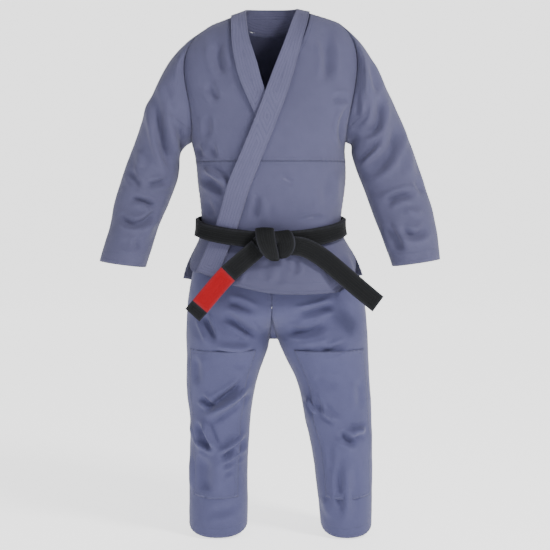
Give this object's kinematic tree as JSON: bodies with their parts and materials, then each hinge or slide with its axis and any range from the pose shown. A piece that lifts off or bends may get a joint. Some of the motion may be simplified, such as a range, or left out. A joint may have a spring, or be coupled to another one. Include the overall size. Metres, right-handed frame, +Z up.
{
  "type": "jiu-jitsu gi",
  "caption": "Worn jiu-jitsu uniform with no wearer: crossed pearl-weave jacket, trousers with knee patches, and a knotted black belt with a red bar.",
  "frame": {"origin": "between the shoulder points at the height of the shoulder line, where the wearer carries the jacket", "axes": "+Z up, the front of the garment faces -Y, the wearer's left side is at +X"},
  "size_m": [0.8439, 0.3244, 1.316],
  "materials": {
    "jacket_cloth": "pearl-weave cotton, matt",
    "trouser_cloth": "drill cotton, matt",
    "belt_cloth": "row-stitched cotton",
    "bar_cloth": "row-stitched cotton"
  },
  "bodies": {
    "root": {"jacket_back": "jacket_cloth", "jacket_front_under_upper": "jacket_cloth", "jacket_front_under_lower": "jacket_cloth", "jacket_front_over_upper": "jacket_cloth", "jacket_front_over_lower": "jacket_cloth", "sleeve_right": "jacket_cloth", "sleeve_left": "jacket_cloth", "lapel_collar": "jacket_cloth", "trouser_leg_right": "trouser_cloth", "trouser_leg_left": "trouser_cloth", "crotch_gusset": "trouser_cloth", "knee_patch_right": "trouser_cloth", "knee_patch_left": "trouser_cloth", "trouser_waistband": "trouser_cloth", "belt_turn_inner": "belt_cloth", "belt_turn_outer": "belt_cloth", "belt_knot": "belt_cloth", "belt_tail_bar": "belt_cloth", "belt_bar": "bar_cloth", "belt_tip": "belt_cloth", "belt_tail_plain": "belt_cloth"}
  },
  "joints": []
}
